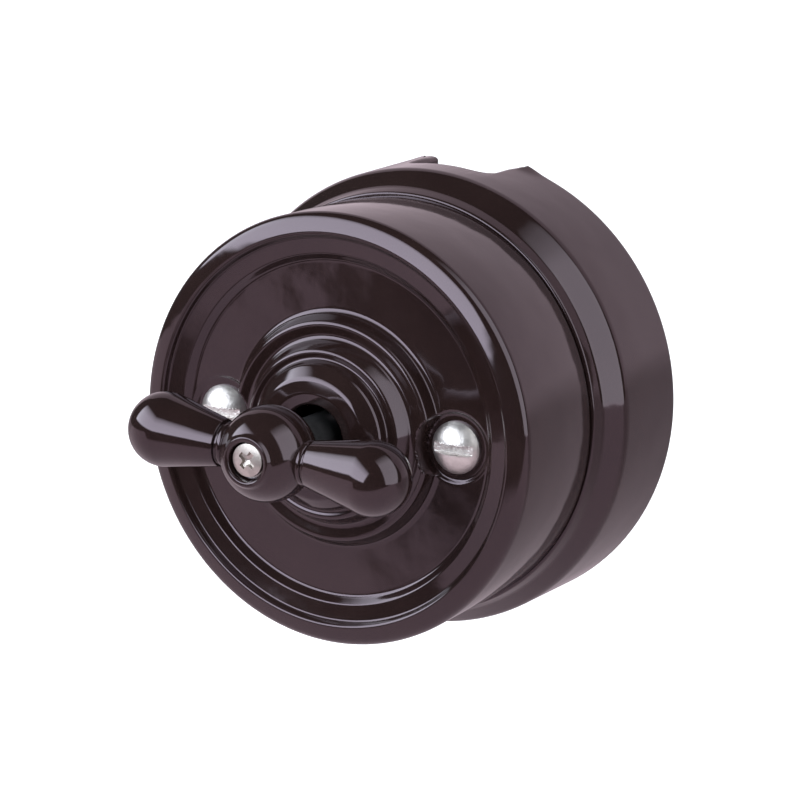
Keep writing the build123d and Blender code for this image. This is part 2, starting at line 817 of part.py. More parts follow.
# Contacts: each leaf lies under its terminal and rises to the rotor, with a rivet at its tip
rivets = []
terminals = []
terminal_screws = []
for name, angle in terminal_angles.items():
    tip = contact_tip_r[name]
    with BuildPart() as leaf:
        with BuildSketch(radial(angle)):
            with BuildLine():
                Polyline(
                    (pocket_outer_r - pocket_clearance, block_floor_depth),
                    (leaf_bend_r, block_floor_depth),
                    (tip + rivet_r, rivet_base - leaf_thickness),
                    (tip - leaf_end, rivet_base - leaf_thickness),
                    (tip - leaf_end, rivet_base),
                    (tip + rivet_r, rivet_base),
                    (leaf_bend_r, leaf_top),
                    (pocket_outer_r - pocket_clearance, leaf_top),
                    close=True,
                )
            make_face()
        extrude(amount=leaf_width / 2, both=True)
    save(leaf, f"contact_{name}")

    with BuildPart() as rivet:
        with BuildSketch(facing(rivet_base)):
            with Locations(on_circle(angle, tip)):
                Circle(rivet_r)
        extrude(amount=rivet_height)
    rivets.append(rivet.part)

    with BuildPart() as terminal:
        middle = on_circle(angle, terminal_middle_r)
        with BuildSketch(facing(leaf_top)):
            with Locations(Location(middle + (0,), (0, 0, angle))):
                Rectangle(terminal_radial, terminal_width)
        extrude(amount=screw_seat - leaf_top)
        with BuildSketch(across(angle, 0)):
            with Locations((0, wire_depth)):
                Circle(wire_hole_r)
        extrude(amount=2 * block_r, mode=Mode.SUBTRACT)
        with BuildSketch(facing(screw_seat)):
            with Locations(middle):
                Circle(terminal_screw_r + screw_clearance)
        extrude(amount=wire_depth - screw_seat, mode=Mode.SUBTRACT)
    terminals.append(terminal.part)

    with BuildPart() as terminal_screw:
        with BuildSketch(facing(terminal_screw_end)):
            with Locations(middle):
                Circle(terminal_screw_r)
        extrude(amount=screw_seat - terminal_screw_end)
        with BuildSketch(facing(screw_seat)):
            with Locations(middle):
                Circle(terminal_head_r)
        extrude(amount=terminal_head)
        with BuildSketch(facing(screw_seat + terminal_head)):
            with Locations(middle):
                Rectangle(3 * terminal_head_r, terminal_slot)
        extrude(amount=-terminal_head / 2, mode=Mode.SUBTRACT)
    terminal_screws.append(terminal_screw.part)
save_group(rivets, "contact_rivets")
save_group(terminals, "terminal_blocks")
save_group(terminal_screws, "terminal_screws")

# Mounting strap: a steel bar with a round middle and threaded collars for the cover screws
with BuildPart() as mounting_strap:
    with BuildSketch(facing(strap_back)):
        Circle(strap_r)
        Rectangle(4 * strap_r, 2 * strap_half_width, mode=Mode.INTERSECT)
    extrude(amount=strap_thickness)
    fillet(mounting_strap.edges().filter_by(Axis.Y), strap_corner)
    with BuildSketch(facing(strap_front)):
        with Locations((-cover_screw_x, 0), (cover_screw_x, 0)):
            Circle(strap_collar_r)
    extrude(amount=strap_collar_height)
    with BuildSketch(facing(strap_back)):
        Circle(bearing_collar_r + seat_clearance)
        with Locations((-cover_screw_x, 0), (cover_screw_x, 0)):
            Circle(cover_screw_r + screw_clearance)
        with Locations((-strap_screw_x, 0), (strap_screw_x, 0)):
            Circle(strap_screw_r + hole_clearance)
        for side in (-block_screw_x, block_screw_x):
            with Locations((side, block_screw_z), (side, -block_screw_z)):
                Circle(block_screw_r + seat_clearance)
    extrude(amount=strap_thickness + strap_collar_height, mode=Mode.SUBTRACT)
save(mounting_strap, "mounting_strap")


def slotted_screw(seat, length, shank_r, head_r, head_height, slot):
    """A cheese head screw on the axis with its head in front of a seat."""
    with BuildPart() as screw:
        with BuildSketch(facing(seat)):
            Circle(shank_r)
        extrude(amount=-length)
        with BuildSketch(facing(seat)):
            Circle(head_r)
        extrude(amount=head_height)
        fillet(screw.edges().sort_by(Axis.Y)[0], head_height * 0.3)
        with BuildSketch(facing(seat + head_height)):
            Rectangle(3 * head_r, slot)
        extrude(amount=-head_height / 2, mode=Mode.SUBTRACT)
    return screw.part


# Strap screws and the brass inserts that they go into
strap_screw = slotted_screw(
    strap_front, strap_screw_length, strap_screw_r, strap_head_r, strap_head, strap_slot
)
strap_places = [(-strap_screw_x, 0), (strap_screw_x, 0)]
save_group(copies(strap_screw, strap_places), "strap_screws")

with BuildPart() as insert:
    with BuildSketch(facing(strap_back)):
        Circle(insert_r - insert_fit)
        Circle(strap_screw_r + screw_clearance, mode=Mode.SUBTRACT)
    extrude(amount=-insert_length)
save_group(copies(insert.part, strap_places), "base_inserts")

# Block screws: hold the block and the bearing plate to the back of the strap
block_screw = slotted_screw(
    strap_front, block_screw_length, block_screw_r, block_screw_head_r, block_screw_head, terminal_slot
)
block_places = [
    (-block_screw_x, -block_screw_z),
    (-block_screw_x, block_screw_z),
    (block_screw_x, -block_screw_z),
    (block_screw_x, block_screw_z),
]
save_group(copies(block_screw, block_places), "block_screws")
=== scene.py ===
import json
import math

import bmesh
import bpy
from mathutils import Matrix, Vector, noise as field


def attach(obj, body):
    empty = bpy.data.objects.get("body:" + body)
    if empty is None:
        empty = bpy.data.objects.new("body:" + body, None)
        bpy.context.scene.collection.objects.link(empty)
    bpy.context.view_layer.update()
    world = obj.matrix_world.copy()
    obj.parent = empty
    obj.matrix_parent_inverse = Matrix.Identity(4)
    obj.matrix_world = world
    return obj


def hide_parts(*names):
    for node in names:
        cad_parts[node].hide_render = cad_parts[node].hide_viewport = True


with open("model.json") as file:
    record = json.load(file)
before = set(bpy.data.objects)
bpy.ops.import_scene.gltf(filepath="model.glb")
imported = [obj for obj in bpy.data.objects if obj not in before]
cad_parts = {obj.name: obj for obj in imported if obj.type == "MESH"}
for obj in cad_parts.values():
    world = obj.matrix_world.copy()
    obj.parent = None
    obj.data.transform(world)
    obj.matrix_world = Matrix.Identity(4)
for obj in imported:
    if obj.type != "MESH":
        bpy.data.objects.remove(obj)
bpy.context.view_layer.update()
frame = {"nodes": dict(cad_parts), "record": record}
nodes = frame["nodes"]

MM = 0.001

# Camera, fitted to the circles of the cover and the base
LENS = 180.0
SENSOR = 36.0
VIEW_AZIMUTH = math.radians(29.48)
VIEW_ELEVATION = math.radians(13.38)
VIEW_ROLL = math.radians(1.42)
VIEW_DISTANCE = 658.8 * MM
VIEW_TARGET = Vector((-13.24, 0, -5.57)) * MM

# How finely the turned pieces are divided
RING_STEPS = 512
ARC_STEPS = 7

# Edges sharper than this many degrees stay sharp
CLAY_SHARP = 35
FINE_SHARP = 40


def view_axes():
    """The camera's right, up and back directions."""
    az, el = VIEW_AZIMUTH, VIEW_ELEVATION
    back = Vector((math.sin(az) * math.cos(el), -math.cos(az) * math.cos(el), math.sin(el)))
    right = Vector((math.cos(az), math.sin(az), 0))
    up = back.cross(right)
    turned_right = right * math.cos(VIEW_ROLL) + up * math.sin(VIEW_ROLL)
    turned_up = -right * math.sin(VIEW_ROLL) + up * math.cos(VIEW_ROLL)
    return turned_right, turned_up, back


def facing_matrix(right, up, back, place):
    """A matrix with those three axes at a place."""
    turn = Matrix((right, up, back)).transposed().to_4x4()
    return Matrix.Translation(place) @ turn


def make_camera():
    """The camera, where the photo was taken from."""
    right, up, back = view_axes()
    data = bpy.data.cameras.new("camera")
    data.lens = LENS
    data.sensor_width = SENSOR
    data.clip_start = 0.01
    data.clip_end = 20
    camera = linked_object("camera", data)
    camera.matrix_world = facing_matrix(right, up, back, VIEW_TARGET + back * VIEW_DISTANCE)
    bpy.context.scene.camera = camera


# Outlines and meshes

def step_between(value, low, high):
    """0 below low and 1 above high, with a smooth passage."""
    t = min(1, max(0, (value - low) / (high - low)))
    return t * t * (3 - 2 * t)


def rounded(corners):
    """Points along an outline of (radius, depth, rounding) corners in mm, with arcs where rounded."""
    points = []
    last = len(corners) - 1
    for i, (x, y, r) in enumerate(corners):
        here = Vector((x, y))
        if r == 0 or i in (0, last):
            points.append(here)
            continue
        before = (Vector(corners[i - 1][:2]) - here).normalized()
        after = (Vector(corners[i + 1][:2]) - here).normalized()
        half = before.angle(after) / 2
        reach = r / math.tan(half)
        centre = here + (before + after).normalized() * (r / math.sin(half))
        start = here + before * reach - centre
        end = here + after * reach - centre
        turn = start.angle_signed(end)
        for k in range(ARC_STEPS + 1):
            part = -turn * k / ARC_STEPS
            spun = Vector((
                start.x * math.cos(part) - start.y * math.sin(part),
                start.x * math.sin(part) + start.y * math.cos(part),
            ))
            points.append(centre + spun)
    return points


def divided(points, step, low, high):
    """The same outline with its straight runs between two radii cut into short steps."""
    out = [points[0]]
    for a, b in zip(points, points[1:]):
        middle = (a.x + b.x) / 2
        count = max(1, math.ceil((b - a).length / step)) if low < middle < high else 1
        for k in range(1, count + 1):
            out.append(a.lerp(b, k / count))
    return out


def linked_object(name, mesh):
    """A new object in the scene."""
    piece = bpy.data.objects.new(name, mesh)
    bpy.context.scene.collection.objects.link(piece)
    return piece


def object_from(name, work):
    """A new object in the scene with a finished bmesh as its mesh."""
    mesh = bpy.data.meshes.new(name)
    work.to_mesh(mesh)
    work.free()
    return linked_object(name, mesh)


def lathe(name, outline, place, steps=RING_STEPS, closed=True):
    """A turned mesh. place gives the point in metres at a radius, a depth and an angle."""
    work = bmesh.new()
    rings = []
    for p in outline:
        if p.x < 1e-6:
            rings.append([work.verts.new(place(0, p.y, 0))])
        else:
            rings.append([work.verts.new(place(p.x, p.y, 2 * math.pi * k / steps)) for k in range(steps)])
    pairs = list(zip(rings, rings[1:]))
    if closed:
        pairs.append((rings[-1], rings[0]))
    for a, b in pairs:
        if len(a) == 1 and len(b) == 1:
            continue
        for k in range(steps):
            n = (k + 1) % steps
            if len(a) == 1:
                work.faces.new((a[0], b[k], b[n]))
            elif len(b) == 1:
                work.faces.new((a[k], b[0], a[n]))
            else:
                work.faces.new((a[k], b[k], b[n], a[n]))
    bmesh.ops.recalc_face_normals(work, faces=work.faces)
    for face in work.faces:
        face.smooth = True
    return object_from(name, work)


def about_spindle(r, depth, angle):
    """A point in metres at a radius and an angle about the spindle's axis, at a depth from the wall."""
    return Vector((r * math.cos(angle), -depth, r * math.sin(angle))) * MM


def apply_modifiers(piece):
    """Makes what the modifiers give the piece's own mesh."""
    shown = piece.evaluated_get(bpy.context.evaluated_depsgraph_get())
    mesh = bpy.data.meshes.new_from_object(shown)
    piece.modifiers.clear()
    piece.data = mesh


def boolean(piece, tool, operation):
    """Joins or cuts the piece with the tool, which is then deleted."""
    modifier = piece.modifiers.new("boolean", "BOOLEAN")
    modifier.operation = operation
    modifier.solver = "EXACT"
    modifier.object = tool
    apply_modifiers(piece)
    bpy.data.objects.remove(tool)


def smooth_by_angle(piece, degrees):
    """Smooth shading with the edges sharper than an angle kept."""
    for face in piece.data.polygons:
        face.use_smooth = True
    piece.data.set_sharp_from_angle(angle=math.radians(degrees))


def finish_piece(piece, body, node, material):
    """Rides on its body in its node's stead, with its material."""
    piece.data.materials.clear()
    piece.data.materials.append(material)
    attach(piece, body)
    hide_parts(node)


# Materials

# How large and how dark the clouds in a metal's colour are, and how far plastic's roughness strays
CLOUD_SHARE = 0.3
DARK_SHARE = 0.80
ROUGH_SPREAD = 0.06


def new_material(name):
    """A material with an empty node tree but for the shader and the output."""
    material = bpy.data.materials.new(name)
    material.use_nodes = True
    tree = material.node_tree
    return material, tree, tree.nodes["Principled BSDF"]


def noise(tree, scale, detail, roughness):
    """A noise in object coordinates, in features per metre."""
    place = tree.nodes.new("ShaderNodeTexCoord")
    node = tree.nodes.new("ShaderNodeTexNoise")
    node.inputs["Scale"].default_value = scale
    node.inputs["Detail"].default_value = detail
    node.inputs["Roughness"].default_value = roughness
    tree.links.new(place.outputs["Object"], node.inputs["Vector"])
    return node


def ramp(tree, source, stops):
    """A colour ramp over a value."""
    node = tree.nodes.new("ShaderNodeValToRGB")
    while len(node.color_ramp.elements) < len(stops):
        node.color_ramp.elements.new(0.5)
    for element, (place, colour) in zip(node.color_ramp.elements, stops):
        element.position = place
        element.color = (*colour, 1)
    tree.links.new(source, node.inputs["Fac"])
    return node


def blend(tree, factor, first, second):
    """A value that goes from the first to the second with a factor of 0 to 1."""
    node = tree.nodes.new("ShaderNodeMapRange")
    tree.links.new(factor, node.inputs["Value"])
    for source, name in ((first, "To Min"), (second, "To Max")):
        if isinstance(source, float):
            node.inputs[name].default_value = source
        else:
            tree.links.new(source, node.inputs[name])
    return node.outputs["Result"]


def passage(tree, source, low, high):
    """0 at low and 1 at high, with a smooth passage."""
    node = tree.nodes.new("ShaderNodeMapRange")
    node.interpolation_type = "SMOOTHSTEP"
    node.inputs["From Min"].default_value = low
    node.inputs["From Max"].default_value = high
    tree.links.new(source, node.inputs["Value"])
    return node.outputs["Result"]


def multiplied(tree, first, second):
    """The product of two values."""
    node = tree.nodes.new("ShaderNodeMath")
    node.operation = "MULTIPLY"
    tree.links.new(first, node.inputs[0])
    tree.links.new(second, node.inputs[1])
    return node.outputs["Value"]


def bump(tree, source, strength, distance, before=None):
    """A bump of a height in metres, on top of another one if given."""
    node = tree.nodes.new("ShaderNodeBump")
    node.inputs["Strength"].default_value = strength
    node.inputs["Distance"].default_value = distance
    tree.links.new(source, node.inputs["Height"])
    if before:
        tree.links.new(before.outputs["Normal"], node.inputs["Normal"])
    return node


def glaze_material():
    """Dark brown glaze, slightly uneven like poured glass, with a warm violet cast in its reflections."""
    material, tree, shader = new_material("brown_glaze")
    clouds = noise(tree, scale=60, detail=4, roughness=0.55)
    tone = ramp(tree, clouds.outputs["Fac"], [
        (0.30, (0.0114, 0.0060, 0.0056)),
        (0.55, (0.0142, 0.0076, 0.0070)),
        (0.75, (0.0176, 0.0098, 0.0089)),
    ])
    tree.links.new(tone.outputs["Color"], shader.inputs["Base Color"])
    grain = noise(tree, scale=900, detail=2, roughness=0.5)
    rough = blend(tree, grain.outputs["Fac"], 0.05, 0.10)
    tree.links.new(rough, shader.inputs["Roughness"])
    shader.inputs["IOR"].default_value = 1.52
    shader.inputs["Specular Tint"].default_value = (1.0, 0.84, 0.96, 1)
    swells = noise(tree, scale=55, detail=2, roughness=0.4)
    ripples = noise(tree, scale=210, detail=2, roughness=0.4)
    slow = bump(tree, swells.outputs["Fac"], strength=1.0, distance=0.00028)
    fast = bump(tree, ripples.outputs["Fac"], strength=1.0, distance=0.00004, before=slow)
    tree.links.new(fast.outputs["Normal"], shader.inputs["Normal"])
    return material


def metal_material(name, colour, rough_low, rough_high, grain_scale, grain_height):
    """Plated metal with a fine uneven grain."""
    material, tree, shader = new_material(name)
    shader.inputs["Metallic"].default_value = 1.0
    clouds = noise(tree, scale=grain_scale * CLOUD_SHARE, detail=4, roughness=0.6)
    dark = tuple(c * DARK_SHARE for c in colour)
    tone = ramp(tree, clouds.outputs["Fac"], [(0.35, dark), (0.6, colour)])
    tree.links.new(tone.outputs["Color"], shader.inputs["Base Color"])
    grain = noise(tree, scale=grain_scale, detail=3, roughness=0.6)
    rough = blend(tree, grain.outputs["Fac"], rough_low, rough_high)
    tree.links.new(rough, shader.inputs["Roughness"])
    pits = bump(tree, grain.outputs["Fac"], strength=0.5, distance=grain_height)
    tree.links.new(pits.outputs["Normal"], shader.inputs["Normal"])
    return material


def plastic_material(name, low, high, rough):
    """Moulded plastic with a fine satin grain."""
    material, tree, shader = new_material(name)
    clouds = noise(tree, scale=400, detail=3, roughness=0.5)
    tone = ramp(tree, clouds.outputs["Fac"], [(0.35, low), (0.65, high)])
    tree.links.new(tone.outputs["Color"], shader.inputs["Base Color"])
    grain = noise(tree, scale=3000, detail=2, roughness=0.5)
    shine = blend(tree, grain.outputs["Fac"], rough - ROUGH_SPREAD, rough + ROUGH_SPREAD)
    tree.links.new(shine, shader.inputs["Roughness"])
    dimples = bump(tree, grain.outputs["Fac"], strength=0.2, distance=0.00002)
    tree.links.new(dimples.outputs["Normal"], shader.inputs["Normal"])
    return material


# Each metal has its colour, its least and most roughness, and its grain per metre and in metres of height
GLAZE = glaze_material()
NICKEL = metal_material("nickel", (0.66, 0.63, 0.61), 0.34, 0.50, 1800, 0.00010)
KNOB_NICKEL = metal_material("knob_nickel", (0.50, 0.46, 0.43), 0.28, 0.42, 3500, 0.00001)
STEEL = metal_material("zinc_steel", (0.60, 0.61, 0.62), 0.25, 0.40, 1500, 0.00001)
BRASS = metal_material("brass", (0.72, 0.52, 0.22), 0.18, 0.32, 1500, 0.00001)
SILVER = metal_material("silver", (0.88, 0.88, 0.87), 0.12, 0.22, 1500, 0.00001)
BLACK = plastic_material("black_plastic", (0.012, 0.012, 0.013), (0.022, 0.022, 0.023), 0.42)
IVORY = plastic_material("ivory_plastic", (0.62, 0.56, 0.44), (0.70, 0.64, 0.52), 0.45)


# Cover

COVER_SCREW_X = 20.7
RECESS_R = 5.0
RECESS_EDGE = 0.8
RECESS_FLOOR = 42.1
FACE_INNER_R = 15.0
FACE_FINE_R = 27.4
FACE_STEP = 0.25


def cover_point(r, depth, angle):
    """A point of the cover, with the round recesses for the screws pressed into its face."""
    x, z = r * math.cos(angle), r * math.sin(angle)
    if depth > RECESS_FLOOR and FACE_INNER_R < r < FACE_FINE_R:
        away = math.hypot(abs(x) - COVER_SCREW_X, z)
        wall = step_between(away, RECESS_R, RECESS_R + RECESS_EDGE)
        depth = RECESS_FLOOR + (depth - RECESS_FLOOR) * wall
    return Vector((x, -depth, z)) * MM


def make_cover():
    """The turned ceramic shell, from its foot over its rim, face and boss to the stem's hole and back."""
    outer = rounded([
        (31.6, 22.6, 0), (33.4, 22.6, 0.4), (34.0, 44.3, 1.7), (30.7, 45.3, 0.6), (30.1, 44.2, 0.5),
        (27.5, 43.7, 0.6), (26.4, 42.6, 0.9), (18.3, 42.6, 1.1), (17.1, 45.2, 0.8), (14.6, 44.7, 1.0),
        (13.1, 47.7, 0.7), (11.8, 47.3, 0.5), (11.2, 49.0, 1.1), (9.4, 50.6, 1.6), (7.2, 51.0, 1.2),
        (5.2, 50.3, 0.8), (5.2, 45.2, 0),
    ])
    inner = rounded([
        (5.2, 45.2, 0), (8.3, 45.2, 0), (13.1, 38.8, 0), (30.0, 38.8, 0), (30.0, 24.5, 0),
        (31.6, 24.5, 0), (31.6, 22.6, 0),
    ])
    outline = divided(outer, FACE_STEP, FACE_INNER_R, FACE_FINE_R) + inner[1:-1]
    piece = lathe("cover_glazed", outline, cover_point)
    smooth_by_angle(piece, CLAY_SHARP)
    finish_piece(piece, "housing", "cover", GLAZE)


# Base

BASE_R = 36.8
BASE_FLOOR = 4.0
BASE_FINE_DEPTHS = (1, 1.5, 2, 2.5, 3, 4, 6)
ARCH_HALF = 7.25
ARCH_HEIGHT = 10.3
ARCH_CORNER = 2.5
ARCH_ROUND = 1.0
ARCH_START = 27.2
ARCH_END = BASE_R + 4
ARCH_LEAD = 3.0
ARCH_FOOT_FLARE = 1.2
ARCH_FOOT_DEPTH = 2.5
ARCH_SIDE_DEPTHS = (0, 0.5, 1, 1.5, 2, 2.5, 3, 4, 5, 6)
ARCH_TOP_SPOTS = (3.0, 1.5, 0, -1.5, -3.0)
ARCH_WALL_SPANS = (29, 31)
ARCH_LIP_STEPS = 10
SWELLINGS = ((8.9, 2.4, 0.55), (-9.4, 1.6, 0.18))
SWELLING_DEPTH = 2.0


def base_point(r, depth, angle):
    """A point of the base, whose back edge swells a little on both sides of the arch."""
    x = r * math.cos(angle)
    if r > BASE_R - 1 and math.sin(angle) > 0 and depth < 3 * SWELLING_DEPTH:
        for middle, half, height in SWELLINGS:
            r += height * math.exp(-((x - middle) / half) ** 2 - (depth / SWELLING_DEPTH) ** 2)
    return about_spindle(r, depth, angle)


def arch_outline():
    """Points and outward directions along the arch, from one foot at the wall to the other, in mm."""
    side = [(ARCH_HALF, depth, 1, 0) for depth in (-ARCH_LEAD, *ARCH_SIDE_DEPTHS)]
    bend = ARCH_HALF - ARCH_CORNER, ARCH_HEIGHT - ARCH_CORNER
    for k in range(ARC_STEPS + 1):
        a = math.pi / 2 * k / ARC_STEPS
        x, y = math.cos(a), math.sin(a)
        side.append((bend[0] + ARCH_CORNER * x, bend[1] + ARCH_CORNER * y, x, y))
    middle = [(x, ARCH_HEIGHT, 0, 1) for x in ARCH_TOP_SPOTS]
    return side + middle + [(-x, y, -nx, ny) for x, y, nx, ny in reversed(side)]


def make_arch_tool():
    """The space that the arch takes, flared where it meets the outside of the base."""
    lip_start = BASE_R - ARCH_ROUND
    spans = [ARCH_START, *ARCH_WALL_SPANS, lip_start]
    for k in range(1, ARCH_LIP_STEPS + 1):
        spans.append(lip_start + ARCH_ROUND * math.sin(math.pi / 2 * k / ARCH_LIP_STEPS))
    work = bmesh.new()
    outline = arch_outline()
    rows = []
    for reach in spans + [ARCH_END]:
        t = min(max(reach - lip_start, 0), ARCH_ROUND)
        flare = ARCH_ROUND - math.sqrt(max(0, ARCH_ROUND ** 2 - t ** 2))
        row = []
        for x, depth, nx, nd in outline:
            wider = flare * (1 + ARCH_FOOT_FLARE * math.exp(-(max(depth, 0) / ARCH_FOOT_DEPTH) ** 2))
            px, pd = x + nx * wider, depth + nd * wider
            pz = reach if reach == ARCH_START else math.sqrt(reach ** 2 - px ** 2)
            row.append(work.verts.new(Vector((px, -pd, pz)) * MM))
        rows.append(row)
    for a, b in zip(rows, rows[1:]):
        for k in range(len(a) - 1):
            work.faces.new((a[k], a[k + 1], b[k + 1], b[k]))
        work.faces.new((a[-1], a[0], b[0], b[-1]))
    work.faces.new(rows[0])
    work.faces.new(rows[-1])
    bmesh.ops.recalc_face_normals(work, faces=work.faces)
    return object_from("arch_tool", work)


# What stands on the floor of the base and goes through it
PAD_START_X = 23.2
PAD_END_X = 30.2
PAD_HALF = 6.0
PAD_BACK = 3.5
PAD_FRONT = 20.0
INSERT_X = 26.2
INSERT_R = 2.0
INSERT_BACK = 14.0
WALL_HOLE_Z = 22.0
WALL_HOLE_R = 2.25
WALL_HEAD_R = 4.3
WALL_HEAD_BACK = 2.8
CUT_CLEAR = 1.0
TOOL_STEPS = 96


def make_round_tool(outline, x, z):
    """A turned tool whose axis stands at a place on the wall."""
    def place(r, depth, angle):
        return Vector((x + r * math.cos(angle), -depth, z + r * math.sin(angle))) * MM
    return lathe("round_tool", [Vector(p) for p in outline], place, steps=TOOL_STEPS, closed=False)


def make_pad(side):
    """A pad that stands on the floor of the base and carries an end of the strap."""
    work = bmesh.new()
    bmesh.ops.create_cube(work, size=1)
    size = Vector((PAD_END_X - PAD_START_X, PAD_FRONT - PAD_BACK, 2 * PAD_HALF))
    middle = Vector((side * (PAD_START_X + PAD_END_X) / 2, -(PAD_BACK + PAD_FRONT) / 2, 0))
    for vertex in work.verts:
        vertex.co = Vector(m + c * s for m, c, s in zip(middle, vertex.co, size)) * MM
    return object_from("pad", work)


def make_base():
    """The turned ceramic foot with its arch, its two pads and the holes in them and in its floor."""
    outline = rounded([
        (0, 0, 0), (BASE_R, 0, 0.7), *((BASE_R, depth, 0) for depth in BASE_FINE_DEPTHS),
        (BASE_R, 16.9, 3.0), (34.35, 20.2, 3.0), (33.8, 22.4, 0.45),
        (31.4, 22.4, 0.1), (31.4, 24.3, 0.1), (29.4, 24.3, 0.1), (29.4, BASE_FLOOR, 1.0),
        (0, BASE_FLOOR, 0),
    ])
    piece = lathe("base_glazed", outline, base_point, closed=False)
    boolean(piece, make_arch_tool(), "DIFFERENCE")
    floor_clear = BASE_FLOOR + CUT_CLEAR
    pad_clear = PAD_FRONT + CUT_CLEAR
    for side in (-1, 1):
        boolean(piece, make_pad(side), "UNION")
        socket = [(0, INSERT_BACK), (INSERT_R, INSERT_BACK), (INSERT_R, pad_clear), (0, pad_clear)]
        boolean(piece, make_round_tool(socket, side * INSERT_X, 0), "DIFFERENCE")
        hole = [
            (0, -CUT_CLEAR), (WALL_HOLE_R, -CUT_CLEAR), (WALL_HOLE_R, WALL_HEAD_BACK),
            (WALL_HEAD_R, WALL_HEAD_BACK), (WALL_HEAD_R, floor_clear), (0, floor_clear),
        ]
        boolean(piece, make_round_tool(hole, 0, side * WALL_HOLE_Z), "DIFFERENCE")
    smooth_by_angle(piece, CLAY_SHARP)
    finish_piece(piece, "housing", "base", GLAZE)


# Knob

KNOB_DEPTH = 63.0
REST_TURN = math.radians(3.7)
KNOB_LIFT = 0.3
HUB_R = 7.35
HUB_FRONT = KNOB_DEPTH + 6.65
HUB_BACK = KNOB_DEPTH - 6.1
HUB_STEPS = 64
HUB_RING_STEPS = 320
LIP_R = 3.75
LIP_ROOT_R = 4.2
LIP_FOOT = 0.35
KNOB_RECESS_R = 3.0
KNOB_RECESS_FLOOR = HUB_FRONT - 2.0
KNOB_BORE_R = 1.6
SOCKET_R = 3.35
SOCKET_END = 66.0
SOCKET_MOUTH_R = 3.55
SOCKET_MOUTH_END = 59.1
NECK_R = 3.2
COLLAR_X = 6.9
COLLAR_HALF = 0.5
COLLAR_RISE = 0.3
COLLAR_STEPS = 12
WING_ROOT = 2.0
WING_START = 7.8
WING_START_R = 3.65
WING_R = 5.75
WING_TIP = 24.05
WING_STEPS = 40
WING_RING_STEPS = 224


def on_knob(x, depth, z):
    """A point in metres of the knob, which sits a little high and stands a little turned at rest."""
    z += KNOB_LIFT
    turned_x = x * math.cos(REST_TURN) + z * math.sin(REST_TURN)
    turned_z = z * math.cos(REST_TURN) - x * math.sin(REST_TURN)
    return Vector((turned_x, -depth, turned_z)) * MM


def about_knob(r, depth, angle):
    """A point in metres at a radius and an angle about the knob's middle, at a depth from the wall."""
    return on_knob(r * math.cos(angle), depth, r * math.sin(angle))


def make_wing(side):
    """One club-shaped wing with its neck and collar, from inside the hub."""
    middle = WING_TIP - WING_R
    reach = math.hypot(middle - WING_START, WING_START_R)
    lean = math.asin(WING_R / reach) - math.atan2(WING_START_R, middle - WING_START)
    outline = [(0, WING_ROOT, 0), (NECK_R, WING_ROOT, 0)]
    for k in range(COLLAR_STEPS + 1):
        a = math.pi * k / COLLAR_STEPS
        outline.append((NECK_R + COLLAR_RISE * math.sin(a), COLLAR_X - COLLAR_HALF * math.cos(a), 0))
    outline += [(NECK_R, WING_START, 0.15), (WING_START_R, WING_START, 0.2)]
    for k in range(WING_STEPS + 1):
        a = math.pi / 2 + lean - (math.pi / 2 + lean) * k / WING_STEPS
        outline.append((WING_R * math.sin(a), middle + WING_R * math.cos(a), 0))

    def along_wing(r, x, angle):
        return on_knob(side * x, KNOB_DEPTH - r * math.cos(angle), r * math.sin(angle))

    return lathe("wing", rounded(outline), along_wing, steps=WING_RING_STEPS, closed=False)


def make_knob():
    """The ball hub with its lip, recess, bore and socket, and the two wings joined to it."""
    start = math.acos((LIP_ROOT_R + LIP_FOOT) / HUB_R)
    end = -math.asin((KNOB_DEPTH - HUB_BACK) / HUB_R)
    ball = []
    for k in range(HUB_STEPS + 1):
        a = start + (end - start) * k / HUB_STEPS
        ball.append((HUB_R * math.cos(a), KNOB_DEPTH + HUB_R * math.sin(a), 0))
    root_depth = KNOB_DEPTH + math.sqrt(HUB_R ** 2 - LIP_ROOT_R ** 2)
    outline = rounded(
        [(KNOB_BORE_R, SOCKET_END, 0), (KNOB_BORE_R, KNOB_RECESS_FLOOR, 0)]
        + [(KNOB_RECESS_R, KNOB_RECESS_FLOOR, 0.2)]
        + [(KNOB_RECESS_R, HUB_FRONT, 0.4), (LIP_R, HUB_FRONT, 0.35), (LIP_ROOT_R, root_depth, 1.2)]
        + ball
        + [(SOCKET_MOUTH_R, HUB_BACK, 0.25), (SOCKET_MOUTH_R, SOCKET_MOUTH_END, 0)]
        + [(SOCKET_R, SOCKET_MOUTH_END, 0), (SOCKET_R, SOCKET_END, 0)]
    )
    hub = lathe("knob_glazed", outline, about_knob, steps=HUB_RING_STEPS)
    for side in (-1, 1):
        boolean(hub, make_wing(side), "UNION")
    smooth_by_angle(hub, FINE_SHARP)
    finish_piece(hub, "turning", "knob", GLAZE)


# Screws

HEAD_R = 4.1
HEAD_EDGE = 0.4
HEAD_CROWN = 2.1
HEAD_ROUND = 0.18
SLOT_HALF = 0.68
SLOT_FLOOR = 1.2
SLOT_SOFT = 0.14
SHANK_R = 1.9
SHANK_END = 18.1
SHANK_POINT = 0.6
HEAD_SPACING = 0.06
HEAD_STEPS = 360

# How a worn slot strays: (millimetres, ups and downs per millimetre)
SLOT_WAVER = (0.06, 2.1)
SLOT_NICKS = (0.07, 6.0)
SLOT_FLOOR_WAVER = (0.05, 3.0)
BURR = (0.10, 5.0)
BURR_AWAY = 0.15
BURR_WIDTH = 0.12


def crown_height(r, radius, edge, crown):
    """The height of a screw head's crown at a radius."""
    arc = (radius ** 2 + crown ** 2) / (2 * crown)
    return edge + crown - arc + math.sqrt(max(0, arc ** 2 - r ** 2))


